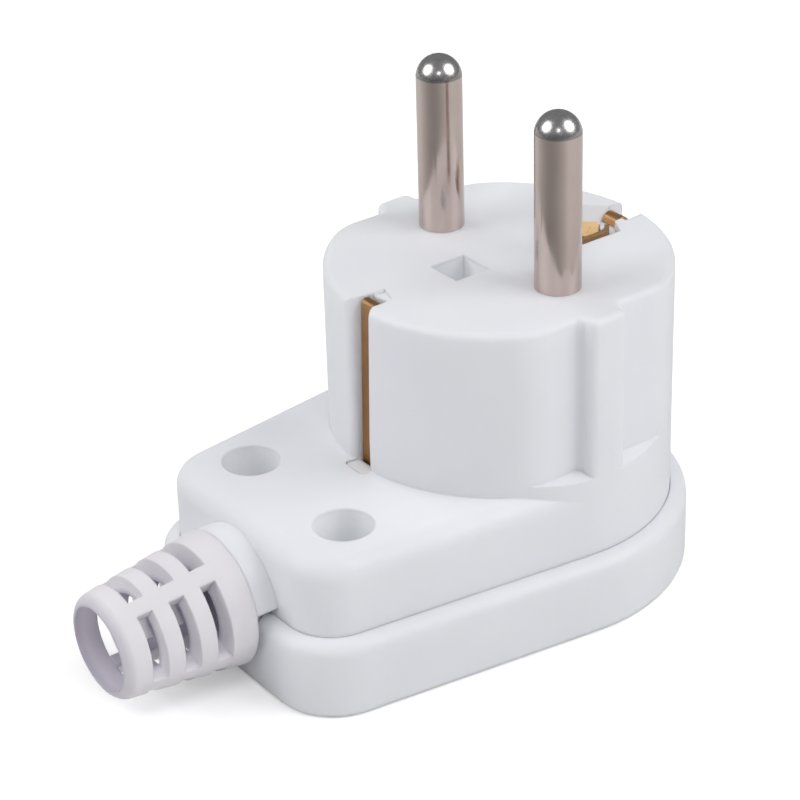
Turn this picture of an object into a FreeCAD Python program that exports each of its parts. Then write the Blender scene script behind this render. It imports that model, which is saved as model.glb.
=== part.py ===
import FreeCAD, Part
import math
import os

# Right-angle two-pin mains plug with side earth contacts, lying on its flat
# base cover with the pins up.  Millimetres.  X runs along the cord axis with
# the cord boot toward -X, Y runs along the line of the two pins, Z is up.
# The origin is on the underside of the base cover, below the point midway
# between the pins, which is also the centre of the round pin body.

# ---- driving dimensions -------------------------------------------------
face_z = 35.3            # engagement face above the underside
pin_spacing = 19.0       # centre to centre
pin_dia = 4.8
pin_length = 19.0        # beyond the engagement face
pin_root_r = 2.2         # pin inside the housing, up to the face
body_r = 18.1            # round pin body and wide end of the flange
flange_top_z = 16.9      # top of the flange plate
parting_z = 8.5          # visible joint between housing and base cover
lap_z = 7.0              # ledge the housing wall stands on
corner_x = -28.8         # centres of the two small plan corners
corner_y = 9.3
corner_r = 5.1
base_margin = 1.8        # base cover outline outside the housing outline
rim_gap = 0.05           # thin gap at the visible joint
wall = 2.0               # housing wall
floor_t = 1.8            # base cover floor
flange_round = 2.2       # rounding of the flange top edge
rim_round = 1.5          # rounding of the base cover rim
foot_round = 0.8         # rounding of the base cover foot
face_round = 0.7         # rounding of the engagement face edge
flat_y = 16.05           # guide flats on both sides of the body
flat_bottom_z = 18.0     # ledge that ends each guide flat
flat_ease_r = 6.0        # radius that eases each flat into the round body
rib_x0 = -2.5            # guide rib left standing between the flats
rib_x1 = 1.9
cord_z = 8.5             # cord axis
boot_root_r = 7.25       # boot at the ring that meets the collar
boot_mouth_r = 5.5       # boot at its mouth
boot_x0 = -50.5          # mouth end
boot_x1 = -36.4          # ring end, against the collar
boot_bore_r = 4.5        # at the mouth ring
boot_inner_r = 4.25      # behind the mouth ring
boot_neck_r = 5.6
boot_neck_bore_r = 4.05
boot_sag = 1.23          # degrees the boot hangs down toward its mouth
boot_pivot_x = -31.5
slot_w = 1.7             # boot slots along the axis
slot_starts = (-47.85, -44.35, -40.85)
slot_angle = 73.0        # each of the four slots round the axis
slot_turn = 15.0         # slots are turned this much about the axis
collar_r = 7.1
well_x = -26.3           # screw wells in the flange
well_y = 8.1
well_r = 3.05
well_floor_z = 10.5
strip_t = 0.6            # earth strap sheet
strip_w = 2.2            # width of the upright clips
far_clip_x = 16.78       # outer face of the upright clip away from the cord
near_clip_top_x = 16.7   # outer face of the clip on the cord side, which
near_clip_foot_x = 17.2  # leans outward toward its foot
near_channel_x = 15.6    # back walls of the side channels
far_channel_x = 15.9
bridge_z = 15.2          # underside of the strap bridge
earth_x = 10.7           # earth pin socket opening centre
leaf_t = 0.5             # sprung leaves of the earth pin socket


def V(x, y, z):
    return FreeCAD.Vector(x, y, z)


def box(x0, x1, y0, y1, z0, z1):
    return Part.makeBox(x1 - x0, y1 - y0, z1 - z0, V(x0, y0, z0))


def cyl(r, z0, z1, x=0.0, y=0.0):
    return Part.makeCylinder(r, z1 - z0, V(x, y, z0), V(0, 0, 1))


def xcyl(r, x0, x1, y=0.0, z=cord_z):
    return Part.makeCylinder(r, x1 - x0, V(x0, y, z), V(1, 0, 0))


def outline(off):
    # Plan outline: one large arc at the pin end, two small corner arcs and
    # the straight lines tangent to them, all moved outward by off.
    R = body_r + off
    r = corner_r + off
    d = math.hypot(corner_x, corner_y)
    base = math.atan2(corner_y, corner_x)
    phi = base - math.acos((R - r) / d)
    n = V(math.cos(phi), math.sin(phi), 0)
    a = V(n.x * R, n.y * R, 0)
    b = V(corner_x + n.x * r, corner_y + n.y * r, 0)
    mid_ang = (phi + math.pi) / 2.0
    m = V(corner_x + r * math.cos(mid_ang), corner_y + r * math.sin(mid_ang), 0)
    e = V(corner_x - r, corner_y, 0)

    def mir(p):
        return V(p.x, -p.y, 0)
    edges = [
        Part.Arc(mir(a), V(R, 0, 0), a).toShape(),
        Part.LineSegment(a, b).toShape(),
        Part.Arc(b, m, e).toShape(),
        Part.LineSegment(e, mir(e)).toShape(),
        Part.Arc(mir(e), mir(m), mir(b)).toShape(),
        Part.LineSegment(mir(b), mir(a)).toShape(),
    ]
    return Part.Wire(Part.__sortEdges__(edges))


def plate(off, z0, z1):
    w = outline(off)
    w.translate(V(0, 0, z0))
    return Part.Face(w).extrude(V(0, 0, z1 - z0))


def edges_at(shape, z, tol=0.01):
    out = []
    for e in shape.Edges:
        bb = e.BoundBox
        if abs(bb.ZMin - z) < tol and abs(bb.ZMax - z) < tol:
            out.append(e)
    return out


def save(shape, name):
    shape = shape.removeSplitter()
    solids = shape.Solids
    if len(solids) != 1:
        raise ValueError("%s has %d solids" % (name, len(solids)))
    s = solids[0]
    if not s.isValid():
        s.fix(0.001, 0.001, 0.001)
    if not s.isValid():
        raise ValueError("%s is not valid" % name)
    s.exportStep("parts/%s.step" % name)
    print(name, "vol %.1f" % s.Volume, "bb", s.BoundBox)


os.makedirs("parts", exist_ok=True)

# ---- upper housing: flange, round pin body and collar, one moulding ----
flange = plate(0.0, lap_z, flange_top_z)
flange = flange.makeFillet(flange_round, edges_at(flange, flange_top_z))
body = cyl(body_r, lap_z, face_z)
# guide flats on +Y and -Y with a rib left between them: each eases out of the
# round body, runs straight, and turns up softly into the rounded rib


def flat_profile(h, sx):
    e = 0.004
    ra, rb, rc = flat_ease_r, 0.9, 0.9
    ua = math.sqrt((body_r - ra + e) ** 2 - (flat_y - ra) ** 2)
    yc = math.sqrt((body_r - rc + e) ** 2 - (h - rc) ** 2)

    def on(cx, cy, r, a):
        return V(sx * (cx + r * math.cos(a)), cy + r * math.sin(a), 0)
    fa = math.atan2(flat_y - ra, ua)
    fc = math.atan2(yc, h - rc)
    p0 = on(ua, flat_y - ra, ra, fa)
    p1 = on(ua, flat_y - ra, ra, math.pi / 2)
    p2 = on(h + rb, flat_y + rb, rb, -math.pi / 2)
    p3 = on(h + rb, flat_y + rb, rb, math.pi)
    p4 = on(h - rc, yc, rc, 0.0)
    p5 = on(h - rc, yc, rc, fc)
    q0, q1 = V(p5.x, 22, 0), V(sx * 14.0, 22, 0)
    edges = [
        Part.Arc(p0, on(ua, flat_y - ra, ra, (fa + math.pi / 2) / 2), p1).toShape(),
        Part.LineSegment(p1, p2).toShape(),
        Part.Arc(p2, on(h + rb, flat_y + rb, rb, -0.75 * math.pi), p3).toShape(),
        Part.LineSegment(p3, p4).toShape(),
        Part.Arc(p4, on(h - rc, yc, rc, fc / 2), p5).toShape(),
        Part.LineSegment(p5, q0).toShape(),
        Part.LineSegment(q0, q1).toShape(),
        Part.LineSegment(q1, p0).toShape(),
    ]
    return Part.Wire(Part.__sortEdges__(edges))


def yz_prism(pts, x0, x1):
    w = Part.makePolygon([V(x0, y, z) for y, z in pts] + [V(x0, pts[0][0], pts[0][1])])
    return Part.Face(w).extrude(V(x1 - x0, 0, 0))


# the ledge under each flat falls a little toward the outside
over_ledge = yz_prism([(14.0, flat_bottom_z + 0.5125), (23.0, flat_bottom_z - 1.7375), (23.0, 50.0), (14.0, 50.0)], -15.0, 15.0)
for h, sx in ((-rib_x0, -1), (rib_x1, 1)):
    w = flat_profile(h, sx)
    w.translate(V(0, 0, flat_bottom_z - 2))
    c = Part.Face(w).extrude(V(0, 0, face_z + 5 - flat_bottom_z)).common(over_ledge)
    body = body.cut(c)
    body = body.cut(c.mirror(V(0, 0, 0), V(0, 1, 0)))
body = body.removeSplitter()
rim_edges = edges_at(body, face_z)
body = body.makeFillet(face_round, rim_edges)
outer = flange.fuse(body)

# half-round collar over the boot root, cut just above the joint plane
collar = xcyl(collar_r, -36.4, -31.0)
collar = collar.makeFillet(0.2, [e for e in collar.Edges if abs(e.BoundBox.XMin + 36.4) < 1e-6 and e.BoundBox.XLength < 1e-6])
collar = collar.cut(box(-40, -30, -10, 10, -5, parting_z + 1.1))
outer = outer.fuse(collar)

# cavity in the flange and in the round body
cav = plate(-wall, lap_z - 1.0, flange_top_z - wall)
upper_cav = cyl(body_r - wall, lap_z - 1.0, face_z - 3.0)
upper_cav = upper_cav.common(box(-20, 20, -(flat_y - wall), flat_y - wall, 0, 60))
low_keep = cyl(body_r - wall, lap_z - 1.0, flat_bottom_z - wall)
for s in (1, -1):
    # plastic left behind the side channels
    upper_cav = upper_cav.cut(box(min(s * 14.6, s * 20), max(s * 14.6, s * 20), -3.6, 3.6, flange_top_z - 3.4, 60))
    low_keep = low_keep.cut(box(min(s * 14.6, s * 20), max(s * 14.6, s * 20), -3.6, 3.6, flange_top_z - 3.4, 60))
cav = cav.cut(box(-20, -14.6, -3.6, 3.6, flange_top_z - 3.4, 60))
cav = cav.cut(box(14.6, 20, -3.6, 3.6, flange_top_z - 3.4, 60))
housing = outer.cut(cav.fuse([upper_cav, low_keep]))

# bosses inside: pin sleeves, screw wells, clamp posts, square pocket
adds = []
for sy in (1, -1):
    y = sy * pin_spacing / 2
    adds.append(cyl(4.4, 26.4, face_z - 2.0, 0, y))
    adds.append(cyl(4.6, parting_z + 0.05, flange_top_z - 1.0, well_x, sy * well_y))
    adds.append(cyl(2.6, 7.4, flange_top_z - 1.0, -18.2, sy * 8.6))
adds.append(box(-8.4, -1.5, -3.5, 3.5, 28.8, face_z - 2.0))
# walls of the earth socket opening
adds.append(box(6.6, 15.2, -5.1, 5.1, 24.0, face_z - 2.0).common(cyl(body_r - 1.0, 0, 60)))
housing = housing.fuse(adds)

cuts = []
for sy in (1, -1):
    y = sy * pin_spacing / 2
    cuts.append(cyl(pin_root_r + 0.04, 20.0, face_z + 1, 0, y))
    well = cyl(well_r, well_floor_z, flange_top_z + 2, well_x, sy * well_y)
    cuts.append(well)
    # narrow chamfer at the mouth of the well
    cuts.append(Part.makeCone(well_r, well_r + 0.12, 0.12, V(well_x, sy * well_y, flange_top_z - 0.12), V(0, 0, 1)))
    cuts.append(cyl(1.65, 5.0, well_floor_z + 1, well_x, sy * well_y))
    cuts.append(cyl(1.45, 5.0, 12.6, -18.2, sy * 8.6))
# square blind pocket in the face
cuts.append(box(-7.1, -2.9, -2.1, 2.1, 30.3, face_z + 1))


def xz_prism(pts, y0, y1):
    w = Part.makePolygon([V(x, y0, z) for x, z in pts] + [V(pts[0][0], y0, pts[0][1])])
    return Part.Face(w).extrude(V(0, y1 - y0, 0))


def xy_prism(pts, z0, z1):
    w = Part.makePolygon([V(x, y, z0) for x, y in pts] + [V(pts[0][0], pts[0][1], z0)])
    return Part.Face(w).extrude(V(0, 0, z1 - z0))


# channel on the cord side: its near flank closes in toward the foot, its far
# flank starts with a soft shoulder and runs back to the rear corner
far_flank = [(-19.6, 2.63), (-17.94, 2.408)]
for i in range(1, 9):
    a = math.radians(172.4 + 87.6 * i / 8)
    far_flank.append((-17.146 + 0.8 * math.cos(a), 2.302 + 0.8 * math.sin(a)))
far_flank.append((-near_channel_x, 1.22))
foot = far_flank + [(-near_channel_x, -1.25), (-19.6, -1.25)]
cuts.append(xy_prism(foot, flange_top_z, face_z + 1))
# shallow pit in the flange in front of the foot of the clip
cuts.append(xy_prism([(-near_channel_x, -1.25), (-near_channel_x, 1.22), (-17.0, 1.4), (-18.9, 1.6), (-19.2, 1.3), (-19.2, -1.2), (-18.9, -1.55), (-17.6, -1.3)], flange_top_z - 0.15, face_z))
cuts.append(box(-17.3, -15.7, -1.2, 1.2, bridge_z - 0.1, flange_top_z))
widening = yz_prism([(-1.0, flange_top_z), (-1.25, flange_top_z), (-1.96, face_z + 1), (-1.0, face_z + 1)], -19.3, -17.0)
cuts.append(widening.common(xy_prism([(-16.9, -1.0), (-16.9, -1.18), (-19.0, -2.61), (-19.4, -2.61), (-19.4, -1.0)], 10, 40)))
cuts.append(box(-17.4, -13.5, -1.3, 1.3, bridge_z - 0.3, bridge_z + 2.2))
# room for the curled top and the shallow dimple behind it
cuts.append(box(-near_channel_x - 0.1, -15.1, -1.2, 1.15, face_z - 1.8, face_z + 1))
dimple = yz_prism([(1.12, face_z + 1), (1.12, face_z - 0.35), (-1.4, face_z), (-1.4, face_z + 1)], -15.2, -13.5)
cuts.append(dimple.common(xy_prism([(-15.2, 1.12), (-13.75, 1.12), (-14.6, -1.4), (-15.2, -1.4)], face_z - 2, face_z + 1)))
# channel away from the cord, and the window through which the strap turns in
cuts.append(xy_prism([(far_channel_x, -1.35), (far_channel_x, 1.35), (19.3, 1.4), (19.3, -2.1), (17.9, -2.1), (16.85, -1.4)], flange_top_z + 0.3, face_z + 1))
cuts.append(box(13.5, 17.0, -1.3, 1.3, bridge_z - 0.3, bridge_z + 2.2))
# shallow sloped notch beside the top of that clip
cuts.append(xz_prism([(15.2, face_z), (16.3, face_z - 0.7), (16.8, face_z - 0.6), (17.8, face_z - 0.1), (17.8, face_z + 1), (15.2, face_z + 1)], -2.3, -1.2))
# earth socket opening, and the shallow mouth round it that joins it to the far
# channel and whose far walls slope
mouth_z = face_z - 1.45
cuts.append(xy_prism([(7.8, -2.75), (7.8, 2.75), (13.2, 2.75), (14.45, 1.5), (14.45, 0.85), (13.9, 0.2), (13.85, -2.0), (13.4, -2.75)], 20.0, face_z + 1))
# room for the leaves where they stand further apart below
cuts.append(box(7.8, 13.4, -3.3, 3.3, 20.0, 30.0))


def over_slope(p0, p1, run):
    # everything above the plane that falls from the top edge p0-p1 to the
    # mouth floor over the given run
    L = math.hypot(p1[0] - p0[0], p1[1] - p0[1])
    ux, uy = (p1[0] - p0[0]) / L, (p1[1] - p0[1]) / L
    nx, ny = uy, -ux
    k = (face_z - mouth_z) / run
    sx, sy = p0[0] - 20 * ux, p0[1] - 20 * uy
    pts = [V(sx - 2 * nx, sy - 2 * ny, face_z + 2 * k), V(sx + 15 * nx, sy + 15 * ny, face_z - 15 * k),
           V(sx + 15 * nx, sy + 15 * ny, face_z + 30), V(sx - 2 * nx, sy - 2 * ny, face_z + 30)]
    return Part.Face(Part.makePolygon(pts + [pts[0]])).extrude(V(40 * ux, 40 * uy, 0))


mouth = xy_prism([(7.8, -3.9), (7.8, 3.9), (13.8, 3.9), (16.2, 1.5), (16.2, -1.5), (14.2, -1.8), (13.1, -3.9)], mouth_z, face_z + 1)
mouth = mouth.common(over_slope((7.8, 3.9), (13.8, 3.9), 1.15)).common(over_slope((13.8, 3.9), (15.6, 2.1), 1.15))
cuts.append(mouth)
cuts.append(xy_prism([(15.0, 1.3), (19.3, 1.45), (19.3, -2.1), (17.9, -2.1), (16.85, -1.4), (15.0, -1.6)], mouth_z, face_z + 1))
# cord way through the end wall and collar
cuts.append(xcyl(boot_neck_r + 0.1, -37.0, -31.5))
# groove that takes the catch of the base cover
cuts.append(box(15.0, 16.75, -3.3, 3.3, 9.0, 10.5))
housing = housing.cut(cuts[0].fuse(cuts[1:]))
save(housing, "upper_housing")

# ---- base cover --------------------------------------------------------
base = plate(base_margin, 0.0, parting_z + 0.1)
base = base.makeFillet(rim_round, edges_at(base, parting_z + 0.1))
base = base.makeFillet(foot_round, edges_at(base, 0.0))
lap = plate(rim_gap, lap_z, parting_z + 5)
hollow = plate(-wall, floor_t, parting_z + 5)
base = base.cut(lap.fuse(hollow))
posts = []
for sy in (1, -1):
    posts.append(cyl(4.0, floor_t - 0.5, parting_z, well_x, sy * well_y))
    post = cyl(3.9, floor_t - 0.5, 16.5, 0, sy * pin_spacing / 2)
    posts.append(post)
posts.append(box(14.2, 15.6, -3.0, 3.0, floor_t - 0.5, 10.3))
posts.append(box(15.5, 16.5, -3.0, 3.0, 9.2, 10.3))
base = base.fuse(posts)
trim = [xcyl(boot_neck_r + 0.1, -40.0, -30.0)]
for sy in (1, -1):
    trim.append(cyl(1.5, 2.6, parting_z + 1, well_x, sy * well_y))
    trim.append(cyl(2.95, 10.0, 17.0, 0, sy * pin_spacing / 2))
# room for the boot flange inside the end wall
trim.append(xcyl(6.45, -31.95, -30.5).common(box(-33, -29, -10, 10, floor_t, 12)))
base = base.cut(trim[0].fuse(trim[1:]))
save(base, "base_cover")

# ---- contact pins ------------------------------------------------------
for name, sy in (("contact_pin_left", 1), ("contact_pin_right", -1)):
    y = sy * pin_spacing / 2
    r = pin_dia / 2
    top = face_z + pin_length
    shank = cyl(r, face_z, top - r, 0, y).fuse(cyl(pin_root_r, 24.0, face_z + 0.5, 0, y))
    dome = Part.makeSphere(r, V(0, y, top - r))
    head = cyl(3.7, 16.5, 26.4, 0, y)
    head = head.makeChamfer(0.4, [e for e in head.Edges if abs(e.BoundBox.ZMin - 26.4) < 1e-6 and e.BoundBox.ZLength < 1e-6])
    p = shank.fuse([dome, head])
    wire_hole = Part.makeCylinder(1.4, 10, V(-5, y, 21.2), V(1, 0, 0))
    p = p.cut(wire_hole.fuse(cyl(1.5, 16.0, 21.2, 0, y)))
    save(p, name)

# ---- pin terminal screws ----------------------------------------------
for name, sy in (("pin_screw_left", 1), ("pin_screw_right", -1)):
    y = sy * pin_spacing / 2
    s = cyl(1.5, 16.4, 20.0, 0, y).fuse(cyl(2.7, 14.3, 16.5, 0, y))
    s = s.cut(box(-3, 3, y - 0.4, y + 0.4, 14.0, 15.2))
    save(s, name)


# ---- earth strap: two side clips, their curled tops and the bridge -----
def sheet(pts, y0, y1):
    # Constant-thickness strip swept along a polyline in the XZ plane whose
    # corners are rounded; pts run along the outer face.
    return xz_prism(pts, y0, y1)


def arc_pts(cx, cz, r, a0, a1, n=7):
    out = []
    for i in range(n + 1):
        a = math.radians(a0 + (a1 - a0) * i / n)
        out.append((cx + r * math.cos(a), cz + r * math.sin(a)))
    return out


def strip_path(path, t):
    # offset a polyline to the left by t and close it
    left = []
    n = len(path)
    for i in range(n):
        if i == 0:
            d = (path[1][0] - path[0][0], path[1][1] - path[0][1])
            L = math.hypot(*d)
            nx, nz = -d[1] / L, d[0] / L
            k = 1.0
        elif i == n - 1:
            d = (path[-1][0] - path[-2][0], path[-1][1] - path[-2][1])
            L = math.hypot(*d)
            nx, nz = -d[1] / L, d[0] / L
            k = 1.0
        else:
            d0 = (path[i][0] - path[i - 1][0], path[i][1] - path[i - 1][1])
            d1 = (path[i + 1][0] - path[i][0], path[i + 1][1] - path[i][1])
            L0, L1 = math.hypot(*d0), math.hypot(*d1)
            n0 = (-d0[1] / L0, d0[0] / L0)
            n1 = (-d1[1] / L1, d1[0] / L1)
            nx, nz = n0[0] + n1[0], n0[1] + n1[1]
            L = math.hypot(nx, nz)
            nx, nz = nx / L, nz / L
            k = 1.0 / (nx * n0[0] + nz * n0[1])
        left.append((path[i][0] + nx * t * k, path[i][1] + nz * t * k))
    return list(path) + left[::-1]


r_low = 1.0                     # outer bend radius at the foot
# far clip: from the bridge, out, up, then curled over toward the middle
far = [(0.0, bridge_z)] + arc_pts(far_clip_x - r_low, bridge_z + r_low, r_low, -90, 0) \
    + arc_pts(far_clip_x - 0.88, face_z - 1.2, 0.88, 0, 186, 14)
near = [(0.0, bridge_z)] + arc_pts(near_clip_foot_x - r_low, bridge_z + r_low, r_low, -90, 0) \
    + arc_pts(near_clip_top_x - 0.66, face_z - 0.8, 0.66, 0, 138, 10)
far_strip = sheet(strip_path(far, strip_t), -strip_w / 2, strip_w / 2)
near_strip = sheet(strip_path(near, strip_t), -strip_w / 2, strip_w / 2)
near_strip = near_strip.mirror(V(0, 0, 0), V(1, 0, 0))
bridge = box(-12.6, 12.6, -3.0, 3.0, bridge_z, bridge_z + strip_t)
strap = far_strip.fuse([near_strip, bridge])
strap = strap.cut(cyl(1.75, 10, 30, -5.0, 0).fuse(cyl(1.0, 10, 30, 6.2, 0)))
save(strap, "earth_strap")

# ---- sprung socket for the mating earth pin, riveted to the strap ------
z0 = bridge_z + strip_t
seat = box(4.2, 12.2, -3.0, 3.0, z0, z0 + 0.6)


near_leaf_path = [(-2.45, z0 + 0.3), (-2.5, z0 + 3.0), (-2.02, face_z - 6.0), (-2.05, face_z - 0.35)]
far_leaf_path = [(2.45, z0 + 0.3), (2.5, z0 + 3.0), (2.1, face_z - 6.0), (2.1, face_z - 1.1)]


def leaf(path, t, x0, x1):
    return yz_prism(strip_path(path, t), x0, x1)


near_leaf = leaf(near_leaf_path, leaf_t, 8.2, 12.0)
far_leaf = leaf(far_leaf_path, -leaf_t, 8.2, 13.15)
# the far leaf flares in and back at its outer end, with a clipped top corner
heading, tilt = math.radians(-42.7), math.radians(38.2)
fu = (math.cos(heading), math.sin(heading), 0.0)
fv = (math.sin(heading) * math.sin(tilt), -math.cos(heading) * math.sin(tilt), -math.cos(tilt))
fn = (-math.sin(heading) * math.cos(tilt), math.cos(heading) * math.cos(tilt), -math.sin(tilt))
flare = [(0.0, 0.0), (1.45, 0.0), (1.66, 0.09), (1.77, 0.33), (1.77, 1.6), (-0.45, 1.6), (-0.735, 1.1)]
fp = [V(13.0 + a * fu[0] + b * fv[0], 2.1 + a * fu[1] + b * fv[1], face_z - 1.1 + a * fu[2] + b * fv[2]) for a, b in flare]
far_tab = Part.Face(Part.makePolygon(fp + [fp[0]])).extrude(V(fn[0] * 0.4, fn[1] * 0.4, fn[2] * 0.4))
# the near leaf wraps round the far end of the opening at its top
wrap = xy_prism(strip_path([(11.5, -2.05), (12.3, -1.98), (12.9, -1.65), (13.3, -1.15)], -leaf_t), face_z - 5.5, face_z - 0.35)
wrap = wrap.cut(xz_prism([(11.0, face_z - 6.0), (14.0, face_z - 6.0), (14.0, face_z - 3.2), (11.6, face_z - 5.6)], -5, 5))
spring = seat.fuse([near_leaf, far_leaf, far_tab, wrap])
spring = spring.cut(cyl(1.0, 10, 30, 6.2, 0))
save(spring, "earth_socket_spring")

rivet = cyl(1.0, bridge_z - 0.6, z0 + 1.2, 6.2, 0)
rivet = rivet.fuse([cyl(1.8, bridge_z - 0.7, bridge_z, 6.2, 0), cyl(1.8, z0 + 0.6, z0 + 1.3, 6.2, 0)])
save(rivet, "earth_rivet")

# ---- earth terminal: screw, saddle washer and square nut ---------------
ex = -5.0
washer = box(ex - 3.0, ex + 3.0, -3.0, 3.0, bridge_z - 0.8, bridge_z)
lips = box(ex - 3.0, ex - 2.3, -3.0, 3.0, bridge_z - 1.9, bridge_z - 0.7)
lips2 = box(ex + 2.3, ex + 3.0, -3.0, 3.0, bridge_z - 1.9, bridge_z - 0.7)
washer = washer.fuse([lips, lips2]).cut(cyl(1.75, 10, 30, ex, 0))
save(washer, "earth_washer")
nut = box(ex - 3.0, ex + 3.0, -3.0, 3.0, bridge_z + strip_t, bridge_z + strip_t + 2.4)
nut = nut.makeChamfer(0.3, [e for e in nut.Edges if abs(e.BoundBox.ZMin - (bridge_z + strip_t + 2.4)) < 1e-6 and e.BoundBox.ZLength < 1e-6])
nut = nut.cut(cyl(1.75, 10, 30, ex, 0))
save(nut, "earth_nut")
screw = cyl(1.75, bridge_z - 1.0, bridge_z + 4.2, ex, 0).fuse(cyl(2.2, bridge_z - 3.0, bridge_z - 0.8, ex, 0))
screw = screw.cut(box(ex - 3, ex + 3, -0.4, 0.4, bridge_z - 3.2, bridge_z - 2.1))
save(screw, "earth_screw")

# ---- cord clamp: bar and two screws ------------------------------------
bar = box(-21.0, -15.4, -11.4, 11.4, 4.6, 7.4)
bar = bar.makeFillet(0.8, [e for e in bar.Edges if e.BoundBox.ZLength > 2 and e.BoundBox.XLength < 1e-6])
groove = Part.makeCylinder(6.0, 10, V(-24, 0, 11.8), V(1, 0, 0))
bar = bar.cut(groove)
for sy in (1, -1):
    bar = bar.cut(cyl(1.6, 4, 9, -18.2, sy * 8.6))
save(bar, "cord_clamp_bar")
for name, sy in (("cord_clamp_screw_left", 1), ("cord_clamp_screw_right", -1)):
    y = sy * 8.6
    s = cyl(1.45, 4.4, 12.2, -18.2, y).fuse(cyl(2.6, 2.4, 4.6, -18.2, y))
    s = s.cut(box(-21, -15, y - 0.4, y + 0.4, 2.2, 3.4))
    save(s, name)

# ---- housing screws in the two wells -----------------------------------
for name, sy in (("housing_screw_left", 1), ("housing_screw_right", -1)):
    y = sy * well_y
    h = cyl(2.75, well_floor_z, well_floor_z + 2.0, well_x, y)
    h = h.makeFillet(0.7, [e for e in h.Edges if abs(e.BoundBox.ZMin - (well_floor_z + 2.0)) < 1e-6 and e.BoundBox.ZLength < 1e-6])
    s = cyl(1.5, 3.2, well_floor_z + 0.5, well_x, y).fuse(h)
    cross = box(well_x - 1.7, well_x + 1.7, y - 0.35, y + 0.35, well_floor_z + 0.9, well_floor_z + 3)
    cross = cross.fuse(box(well_x - 0.35, well_x + 0.35, y - 1.7, y + 1.7, well_floor_z + 0.9, well_floor_z + 3))
    s = s.cut(cross)
    save(s, name)

# ---- cord boot ---------------------------------------------------------
# the ribbed part, made straight first; it hangs down a little toward its mouth
taper = (boot_root_r - boot_mouth_r) / (boot_x1 - boot_x0)
boot = Part.makeCone(boot_mouth_r, boot_root_r + 0.6 * taper, boot_x1 + 0.6 - boot_x0, V(boot_x0, 0, cord_z), V(1, 0, 0))
boot = boot.makeFillet(1.3, [e for e in boot.Edges if abs(e.BoundBox.XMin - boot_x0) < 1e-6 and e.BoundBox.XLength < 1e-6])
boot = boot.cut(xcyl(boot_bore_r, boot_x0 - 1, slot_starts[0]).fuse(xcyl(boot_inner_r, slot_starts[0] - 0.5, -30.0)))
slots = []
for xs in slot_starts:
    for k in range(4):
        c = Part.makeCylinder(9.5, slot_w, V(xs, 0, cord_z), V(1, 0, 0), slot_angle)
        # a freshly made sector starts at a fixed direction; centre it on -Y
        # and then turn it to its place
        com = c.CenterOfMass
        a = math.degrees(math.atan2(com.z - cord_z, -com.y))
        c = c.cut(xcyl(boot_inner_r - 0.5, xs - 1, xs + slot_w + 1)).Solids[0]
        c.rotate(V(0, 0, cord_z), V(1, 0, 0), a)
        c.rotate(V(0, 0, cord_z), V(1, 0, 0), -(slot_turn + 90.0 * k))
        slots.append(c)
boot = boot.cut(slots[0].fuse(slots[1:]))
boot.rotate(V(boot_pivot_x, 0, cord_z), V(0, 1, 0), -boot_sag)
boot = boot.cut(box(boot_x1, boot_x1 + 5, -12, 12, -5, 25))
# straight neck through the end wall and the flange behind it
neck = xcyl(boot_neck_r, boot_x1 - 0.3, -31.85)
rear = xcyl(6.3, -31.85, -30.7)
boot = boot.fuse([neck, rear])
boot = boot.cut(xcyl(boot_neck_bore_r, boot_x1 - 1.0, -29.0))
save(boot, "cord_boot")
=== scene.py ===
import math

import bpy
from mathutils import Matrix, Vector

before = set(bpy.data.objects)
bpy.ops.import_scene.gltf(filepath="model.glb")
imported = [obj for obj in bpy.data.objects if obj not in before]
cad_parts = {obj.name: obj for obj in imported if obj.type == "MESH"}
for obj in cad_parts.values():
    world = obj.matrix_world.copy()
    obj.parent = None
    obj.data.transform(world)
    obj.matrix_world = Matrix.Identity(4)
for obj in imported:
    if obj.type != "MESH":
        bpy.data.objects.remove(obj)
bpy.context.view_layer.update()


# ---- node helpers -------------------------------------------------------
def new_mat(name):
    m = bpy.data.materials.new(name)
    m.use_nodes = True
    nt = m.node_tree
    for n in list(nt.nodes):
        nt.nodes.remove(n)
    out = nt.nodes.new("ShaderNodeOutputMaterial")
    b = nt.nodes.new("ShaderNodeBsdfPrincipled")
    nt.links.new(b.outputs["BSDF"], out.inputs["Surface"])
    return m, nt, b


def obj_coords(nt, scale=(1, 1, 1), rot=(0, 0, 0)):
    tc = nt.nodes.new("ShaderNodeTexCoord")
    mp = nt.nodes.new("ShaderNodeMapping")
    mp.inputs["Scale"].default_value = scale
    mp.inputs["Rotation"].default_value = rot
    nt.links.new(tc.outputs["Object"], mp.inputs["Vector"])
    return mp.outputs["Vector"]


def noise(nt, vec, scale, detail=3.0, rough=0.55):
    n = nt.nodes.new("ShaderNodeTexNoise")
    n.inputs["Scale"].default_value = scale
    n.inputs["Detail"].default_value = detail
    n.inputs["Roughness"].default_value = rough
    nt.links.new(vec, n.inputs["Vector"])
    return n.outputs["Fac"]


def ramp(nt, fac, stops):
    r = nt.nodes.new("ShaderNodeValToRGB")
    el = r.color_ramp.elements
    while len(el) < len(stops):
        el.new(0.5)
    for e, (p, c) in zip(el, stops):
        e.position = p
        e.color = (c[0], c[1], c[2], 1.0)
    nt.links.new(fac, r.inputs["Fac"])
    return r.outputs["Color"]


def grey(v):
    return (v, v, v)


def remap(nt, fac, lo, hi, a=0.3, b=0.7):
    m = nt.nodes.new("ShaderNodeMapRange")
    m.inputs["From Min"].default_value = a
    m.inputs["From Max"].default_value = b
    m.inputs["To Min"].default_value = lo
    m.inputs["To Max"].default_value = hi
    nt.links.new(fac, m.inputs["Value"])
    return m.outputs["Result"]


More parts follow.
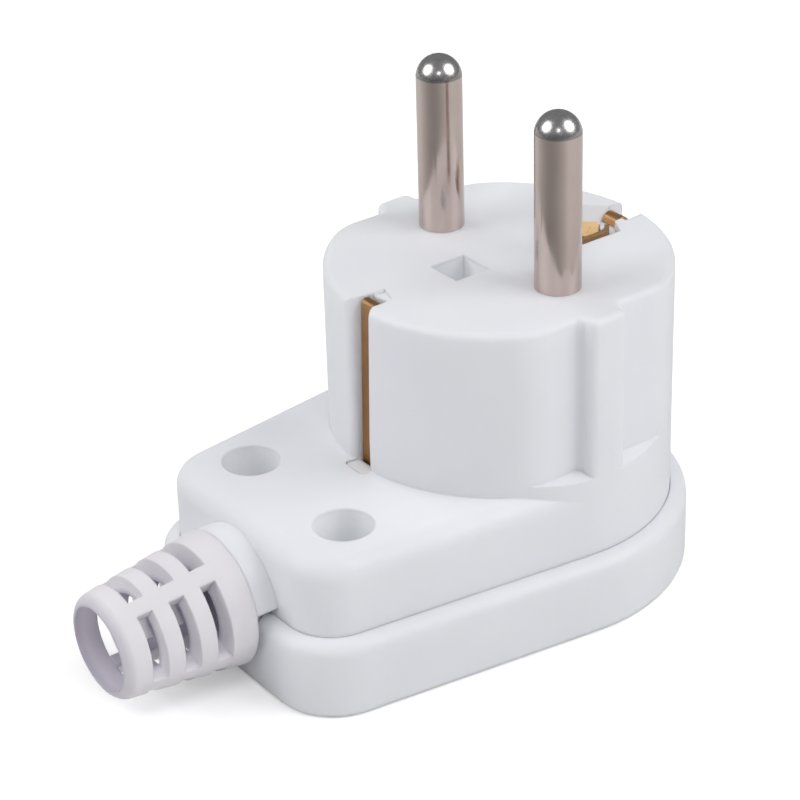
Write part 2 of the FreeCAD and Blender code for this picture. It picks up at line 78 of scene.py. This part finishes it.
def bump(nt, height, dist, strength=1.0, normal=None):
    b = nt.nodes.new("ShaderNodeBump")
    b.inputs["Strength"].default_value = strength
    b.inputs["Distance"].default_value = dist
    nt.links.new(height, b.inputs["Height"])
    if normal is not None:
        nt.links.new(normal, b.inputs["Normal"])
    return b.outputs["Normal"]


def soft_edges(nt, radius):
    b = nt.nodes.new("ShaderNodeBevel")
    b.samples = 6
    b.inputs["Radius"].default_value = radius
    return b.outputs["Normal"]


def times(nt, color, fac):
    # a colour scaled by a grey factor
    m = nt.nodes.new("ShaderNodeMix")
    m.data_type = "RGBA"
    m.blend_type = "MULTIPLY"
    m.inputs["Factor"].default_value = 1.0
    nt.links.new(color, m.inputs["A"])
    nt.links.new(fac, m.inputs["B"])
    return m.outputs["Result"]


def height(nt):
    sep = nt.nodes.new("ShaderNodeSeparateXYZ")
    nt.links.new(obj_coords(nt), sep.inputs["Vector"])
    return sep.outputs["Z"]


def across(nt, axis):
    sep = nt.nodes.new("ShaderNodeSeparateXYZ")
    nt.links.new(obj_coords(nt), sep.inputs["Vector"])
    return sep.outputs[axis]


def plastic(name, lo, hi, rough, edge=0.0003, sss=0.12):
    # satin moulded plastic: faint cloudy flow variation, spark-eroded skin
    m, nt, p = new_mat(name)
    v = obj_coords(nt)
    cloud = noise(nt, v, 55.0, 3.0, 0.5)
    nt.links.new(ramp(nt, cloud, [(0.32, lo), (0.68, hi)]), p.inputs["Base Color"])
    skin = noise(nt, v, 5200.0, 2.0, 0.6)
    wide = noise(nt, v, 320.0, 2.0, 0.5)
    nt.links.new(remap(nt, wide, rough - 0.05, rough + 0.05), p.inputs["Roughness"])
    n0 = soft_edges(nt, edge)
    n1 = bump(nt, skin, 0.000012, 0.55, n0)
    n2 = bump(nt, wide, 0.00004, 0.35, n1)
    nt.links.new(n2, p.inputs["Normal"])
    p.inputs["Subsurface Weight"].default_value = sss
    p.inputs["Subsurface Radius"].default_value = (1.0, 0.95, 0.9)
    p.inputs["Subsurface Scale"].default_value = 0.0016
    p.inputs["IOR"].default_value = 1.5
    p.inputs["Specular IOR Level"].default_value = 0.45
    return m


def metal(name, lo, hi, rough, axis_scale=(1, 1, 1), grain=900.0, depth=0.000004, edge=0.0, spread=0.06):
    # bare or plated metal with a grain drawn along one direction
    m, nt, p = new_mat(name)
    v = obj_coords(nt, axis_scale)
    g = noise(nt, v, grain, 3.0, 0.6)
    cloud = noise(nt, obj_coords(nt), 240.0, 3.0, 0.55)
    nt.links.new(ramp(nt, cloud, [(0.3, lo), (0.7, hi)]), p.inputs["Base Color"])
    nt.links.new(remap(nt, g, rough - spread, rough + spread), p.inputs["Roughness"])
    p.inputs["Metallic"].default_value = 1.0
    n0 = soft_edges(nt, edge) if edge else None
    nt.links.new(bump(nt, g, depth, 0.5, n0), p.inputs["Normal"])
    return m


# ---- materials ----------------------------------------------------------
MAT = {}
MAT["housing"] = plastic("housing_plastic", (0.815, 0.826, 0.862), (0.845, 0.856, 0.892), 0.42, sss=0.25)
# painted light: the insides of the two screw wells and of the pocket are painted paler, in place of the light that
# fills them
hnt = MAT["housing"].node_tree
hp = next(n for n in hnt.nodes if n.type == "BSDF_PRINCIPLED")
wall_colour = hp.inputs["Base Color"].links[0].from_socket
for cx, cy, r0, top in ((-0.0263, 0.0081, 0.00325, 0.0169), (-0.0263, -0.0081, 0.00325, 0.0169), (-0.005, 0.0, 0.0031, 0.0353)):
    flat = hnt.nodes.new("ShaderNodeVectorMath")
    flat.operation = "MULTIPLY_ADD"
    hnt.links.new(obj_coords(hnt), flat.inputs[0])
    flat.inputs[1].default_value = (1.0, 1.0, 0.0)
    flat.inputs[2].default_value = (-cx, -cy, 0.0)
    dist = hnt.nodes.new("ShaderNodeVectorMath")
    dist.operation = "LENGTH"
    hnt.links.new(flat.outputs["Vector"], dist.inputs[0])
    # painted light: a paler colour is mixed in below the rim of each hollow
    painted_light_mix = hnt.nodes.new("ShaderNodeMix")
    painted_light_mix.data_type = "RGBA"
    painted_light_mask = hnt.nodes.new("ShaderNodeMath")
    painted_light_mask.operation = "MULTIPLY"
    hnt.links.new(remap(hnt, dist.outputs["Value"], 1.0, 0.0, r0 - 0.0001, r0), painted_light_mask.inputs[0])
    hnt.links.new(remap(hnt, height(hnt), 1.0, 0.0, top - 0.0004, top - 0.0001), painted_light_mask.inputs[1])
    hnt.links.new(painted_light_mask.outputs["Value"], painted_light_mix.inputs["Factor"])
    hnt.links.new(wall_colour, painted_light_mix.inputs["A"])
    painted_light_mix.inputs["B"].default_value = (0.945, 0.96, 0.99, 1.0)
    wall_colour = painted_light_mix.outputs["Result"]
hnt.links.new(wall_colour, hp.inputs["Base Color"])
MAT["cover"] = plastic("cover_plastic", (0.815, 0.826, 0.862), (0.845, 0.856, 0.892), 0.42, sss=0.25)
MAT["boot"] = boot = plastic("boot_rubber", (0.780, 0.760, 0.797), (0.818, 0.798, 0.835), 0.48, edge=0.0003, sss=0.3)
# painted shade: the bore is painted darker and a little lilac, and the end face of the mouth a little darker, in place
# of the shade inside the mouth
bnt = boot.node_tree
bp = next(n for n in bnt.nodes if n.type == "BSDF_PRINCIPLED")
boot_colour = bp.inputs["Base Color"].links[0].from_socket
shift = bnt.nodes.new("ShaderNodeMapping")
SAG = math.radians(1.23)
PIVOT = (-0.0315, 0.0, 0.0085)
shift.inputs["Location"].default_value = (-PIVOT[0], 0.0, -PIVOT[2])
bnt.links.new(obj_coords(bnt), shift.inputs["Vector"])
axis = Vector((-math.cos(SAG), 0.0, -math.sin(SAG)))
cross = bnt.nodes.new("ShaderNodeVectorMath")
cross.operation = "CROSS_PRODUCT"
bnt.links.new(shift.outputs["Vector"], cross.inputs[0])
cross.inputs[1].default_value = axis
length = bnt.nodes.new("ShaderNodeVectorMath")
length.operation = "LENGTH"
bnt.links.new(cross.outputs["Vector"], length.inputs[0])
painted_bore_shade = remap(bnt, length.outputs["Value"], 0.0, 1.0, 0.00435, 0.0049)
along = bnt.nodes.new("ShaderNodeVectorMath")
along.operation = "DOT_PRODUCT"
bnt.links.new(shift.outputs["Vector"], along.inputs[0])
along.inputs[1].default_value = axis
# painted shade on the end face of the mouth
painted_mouth_shade = ramp(bnt, remap(bnt, along.outputs["Value"], 0.0, 1.0, 0.0180, 0.0188), [(0.0, grey(1.0)), (1.0, (0.80, 0.79, 0.82))])
boot_colour = times(bnt, boot_colour, painted_mouth_shade)
# painted shade inside the bore
bnt.links.new(times(bnt, boot_colour, ramp(bnt, painted_bore_shade, [(0.0, (0.74, 0.72, 0.79)), (1.0, grey(1.0))])), bp.inputs["Base Color"])

MAT["clamp"] = plastic("clamp_plastic", (0.60, 0.60, 0.60), (0.66, 0.66, 0.66), 0.5)
MAT["pin"] = metal("pin_plating", (0.57, 0.475, 0.435), (0.61, 0.515, 0.475), 0.17, (1, 1, 0.03), 2600.0, 0.000003)
# the turned ends of the pins are more neutral, and grainier, than the shanks, and they are painted darker towards the
# seam as painted shade
pnt = MAT["pin"].node_tree
pp = next(n for n in pnt.nodes if n.type == "BSDF_PRINCIPLED")
shank_colour = pp.inputs["Base Color"].links[0].from_socket
shank_rough = pp.inputs["Roughness"].links[0].from_socket
end = remap(pnt, height(pnt), 0.0, 1.0, 0.05205, 0.05215)
pc = pnt.nodes.new("ShaderNodeMix")
pc.data_type = "RGBA"
pnt.links.new(end, pc.inputs["Factor"])
pnt.links.new(shank_colour, pc.inputs["A"])
grainy = ramp(pnt, noise(pnt, obj_coords(pnt), 1900.0, 2.0, 0.6), [(0.3, (0.58, 0.565, 0.55)), (0.7, (0.72, 0.70, 0.68))])
# painted shade: the ends are darker towards the seam
painted_shade_near_seam = ramp(pnt, remap(pnt, height(pnt), 0.0, 1.0, 0.0521, 0.0530), [(0.0, grey(0.40)), (1.0, grey(1.0))])
pnt.links.new(times(pnt, grainy, painted_shade_near_seam), pc.inputs["B"])
pnt.links.new(pc.outputs["Result"], pp.inputs["Base Color"])
pr = pnt.nodes.new("ShaderNodeMix")
pnt.links.new(end, pr.inputs["Factor"])
pnt.links.new(shank_rough, pr.inputs["A"])
pnt.links.new(remap(pnt, noise(pnt, obj_coords(pnt), 2400.0, 2.0, 0.6), 0.20, 0.30), pr.inputs["B"])
pnt.links.new(pr.outputs["Result"], pp.inputs["Roughness"])
MAT["copper"] = metal("earth_copper", (0.60, 0.33, 0.14), (0.78, 0.46, 0.21), 0.34, (1, 1, 0.08), 1500.0, 0.000006, 0.00012)
# the upright clips are darker and browner towards the bottom and lightest at the contact tops, and the near clip's top
# is darker than the far clip's
cnt = MAT["copper"].node_tree
cp = next(n for n in cnt.nodes if n.type == "BSDF_PRINCIPLED")
strip_colour = cp.inputs["Base Color"].links[0].from_socket
top_band = remap(cnt, height(cnt), 0.0, 1.0, 0.0328, 0.0342)
low = remap(cnt, height(cnt), 0.0, 1.0, 0.0165, 0.0328)
dark = ramp(cnt, low, [(0.0, (0.40, 0.31, 0.24)), (1.0, (0.72, 0.67, 0.66))])
clip_tone = cnt.nodes.new("ShaderNodeMix")
clip_tone.data_type = "RGBA"
cnt.links.new(top_band, clip_tone.inputs["Factor"])
cnt.links.new(dark, clip_tone.inputs["A"])
top = ramp(cnt, remap(cnt, across(cnt, "X"), 0.0, 1.0, -0.001, 0.001), [(0.0, grey(0.72)), (1.0, (1.0, 1.0, 1.0))])
cnt.links.new(top, clip_tone.inputs["B"])
cnt.links.new(times(cnt, strip_colour, clip_tone.outputs["Result"]), cp.inputs["Base Color"])
MAT["bronze"] = metal("earth_bronze", (0.97, 0.63, 0.30), (1.0, 0.74, 0.40), 0.30, (0.1, 1, 1), 1500.0, 0.000006, 0.00012)
# painted shade: the leaf on the -Y side is painted darker than the flared leaf
znt = MAT["bronze"].node_tree
zp = next(n for n in znt.nodes if n.type == "BSDF_PRINCIPLED")
leaf_colour = zp.inputs["Base Color"].links[0].from_socket
painted_leaf_shade = ramp(znt, remap(znt, across(znt, "Y"), 0.0, 1.0, -0.0003, 0.0005), [(0.0, (0.36, 0.30, 0.26)), (1.0, grey(1.0))])
znt.links.new(times(znt, leaf_colour, painted_leaf_shade), zp.inputs["Base Color"])
zp.inputs["Metallic"].default_value = 0.35
MAT["steel"] = metal("screw_steel", (0.60, 0.60, 0.59), (0.68, 0.68, 0.67), 0.30, (1, 1, 1), 1200.0, 0.000005, 0.0001)

NODE_MAT = {
    "upper_housing": "housing", "base_cover": "cover", "cord_boot": "boot",
    "contact_pin_left": "pin", "contact_pin_right": "pin",
    "pin_screw_left": "steel", "pin_screw_right": "steel",
    "earth_strap": "copper", "earth_socket_spring": "bronze", "earth_rivet": "steel",
    "earth_washer": "steel", "earth_nut": "steel", "earth_screw": "steel",
    "cord_clamp_bar": "clamp", "cord_clamp_screw_left": "steel", "cord_clamp_screw_right": "steel",
    "housing_screw_left": "steel", "housing_screw_right": "steel",
}
for node, key in NODE_MAT.items():
    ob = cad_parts[node]
    for s in ob.material_slots:
        s.material = MAT[key]

# ---- floor --------------------------------------------------------------
me = bpy.data.meshes.new("floor")
S = 3.0
me.from_pydata([(-S, -S, -0.00005), (S, -S, -0.00005), (S, S, -0.00005), (-S, S, -0.00005)], [], [(0, 1, 2, 3)])
floor = bpy.data.objects.new("floor", me)
bpy.context.collection.objects.link(floor)
fm, fnt, fp = new_mat("floor_paper")
fp.inputs["Roughness"].default_value = 0.9
fp.inputs["Specular IOR Level"].default_value = 0.1
# the paper is white. What bare metal mirrors of it is painted greyer, most of all in front of the plug and close to it:
# a painted reflection
lp = fnt.nodes.new("ShaderNodeLightPath")
tc = fnt.nodes.new("ShaderNodeTexCoord")
nrm = fnt.nodes.new("ShaderNodeVectorMath")
nrm.operation = "NORMALIZE"
fnt.links.new(tc.outputs["Object"], nrm.inputs[0])
dot = fnt.nodes.new("ShaderNodeVectorMath")
dot.operation = "DOT_PRODUCT"
fnt.links.new(nrm.outputs["Vector"], dot.inputs[0])
dot.inputs[1].default_value = (math.sin(math.radians(-70.0)), -math.cos(math.radians(-70.0)), 0.0)
mirrored = ramp(fnt, remap(fnt, dot.outputs["Value"], 0.0, 1.0, 0.2, 1.0), [(0.0, grey(0.77)), (1.0, grey(0.34))])
far = fnt.nodes.new("ShaderNodeVectorMath")
far.operation = "LENGTH"
fnt.links.new(tc.outputs["Object"], far.inputs[0])
mirrored = times(fnt, mirrored, ramp(fnt, remap(fnt, far.outputs["Value"], 0.0, 1.0, 0.070, 0.105), [(0.0, grey(0.78)), (1.0, grey(1.0))]))
mix = fnt.nodes.new("ShaderNodeMix")
mix.data_type = "RGBA"
mix.inputs["A"].default_value = (0.93, 0.93, 0.93, 1.0)
fnt.links.new(lp.outputs["Is Glossy Ray"], mix.inputs["Factor"])
fnt.links.new(mirrored, mix.inputs["B"])
fnt.links.new(mix.outputs["Result"], fp.inputs["Base Color"])
# lit a little from below, as on a light table
fp.inputs["Emission Color"].default_value = (1.0, 1.0, 1.0, 1.0)
fnt.links.new(remap(fnt, lp.outputs["Is Camera Ray"], 0.0, 0.28, 0.0, 1.0), fp.inputs["Emission Strength"])
me.materials.append(fm)

# ---- light --------------------------------------------------------------
world = bpy.data.worlds.new("studio")
bpy.context.scene.world = world
world.use_nodes = True
wnt = world.node_tree
bg = wnt.nodes["Background"]
bg.inputs["Color"].default_value = (0.93, 0.94, 1.0, 1)
# a dim room, a bit lighter where bare metal mirrors it
wlp = wnt.nodes.new("ShaderNodeLightPath")
wnt.links.new(remap(wnt, wlp.outputs["Is Glossy Ray"], 0.03, 0.24, 0.0, 1.0), bg.inputs["Strength"])


def area(name, pos, target, size, power, color=(1, 1, 1), mirrored=True):
    li = bpy.data.lights.new(name, "AREA")
    li.shape = "ELLIPSE"
    li.size, li.size_y = size
    li.energy = power
    li.color = color
    ob = bpy.data.objects.new(name, li)
    ob.location = pos
    d = Vector(target) - Vector(pos)
    ob.rotation_euler = d.to_track_quat("-Z", "Y").to_euler()
    ob.visible_glossy = mirrored
    bpy.context.collection.objects.link(ob)
    return ob


def from_view(painted_leaf_shade, el, dist):
    # a place at this many degrees to the side of the camera's own direction
    a = math.radians(-36.1 + painted_leaf_shade)
    e = math.radians(el)
    return (dist * math.sin(a) * math.cos(e), -dist * math.cos(a) * math.cos(e), 0.03 + dist * math.sin(e))


area("softbox_left", from_view(-79, 36, 0.85), (0, 0, 0.03), (0.70, 0.70), 2.6)
area("softbox_left_rim", from_view(-79, 36, 0.86), (0, 0, 0.03), (0.80, 0.80), 0.4)
area("softbox_right", from_view(72, 39, 0.85), (0, 0, 0.03), (0.70, 0.70), 3.4)
area("softbox_right_rim", from_view(72, 39, 0.86), (0, 0, 0.03), (0.80, 0.80), 0.5)
area("key_dot", from_view(-1, 38, 0.9), (0, 0, 0.03), (0.06, 0.06), 0.45)
area("fill_front", from_view(0, 58, 0.9), (0, 0, 0.03), (0.5, 0.4), 2.0, mirrored=False)
area("fill_back_left", from_view(-135, 35, 0.95), (0, 0, 0.03), (0.55, 0.5), 2.2, mirrored=False)
area("fill_back_right", from_view(130, 35, 0.95), (0, 0, 0.03), (0.55, 0.5), 0.8, mirrored=False)
area("fill_back", from_view(180, 25, 1.1), (0, 0, 0.03), (0.9, 0.4), 1.35, mirrored=False)

# ---- camera -------------------------------------------------------------
AZ, EL, ROLL = math.radians(-36.0974), math.radians(29.2086), math.radians(-1.7151)
DIST, TARGET = 0.284245, Vector((-0.009207, 0.00526, 0.0193))
F_PX, CX, CY = 2703.40, 400.075, 398.458
back = Vector((math.sin(AZ) * math.cos(EL), -math.cos(AZ) * math.cos(EL), math.sin(EL)))
right = Vector((math.cos(AZ), math.sin(AZ), 0.0))
up = back.cross(right)
r2 = right * math.cos(ROLL) + up * math.sin(ROLL)
u2 = -right * math.sin(ROLL) + up * math.cos(ROLL)
loc = TARGET + back * DIST
cam_data = bpy.data.cameras.new("camera")
cam_data.sensor_fit = "HORIZONTAL"
cam_data.sensor_width = 36.0
cam_data.lens = F_PX / 800.0 * 36.0
cam_data.shift_x = (400.0 - CX) / 800.0
cam_data.shift_y = (CY - 400.0) / 800.0
cam_data.clip_start = 0.01
cam = bpy.data.objects.new("camera", cam_data)
m = Matrix.Identity(4)
for i, ax in enumerate((r2, u2, back)):
    m[0][i], m[1][i], m[2][i] = ax
m[0][3], m[1][3], m[2][3] = loc
cam.matrix_world = m
bpy.context.collection.objects.link(cam)
bpy.context.scene.camera = cam

bpy.context.scene.view_settings.view_transform = "Standard"
bpy.context.scene.view_settings.look = "None"
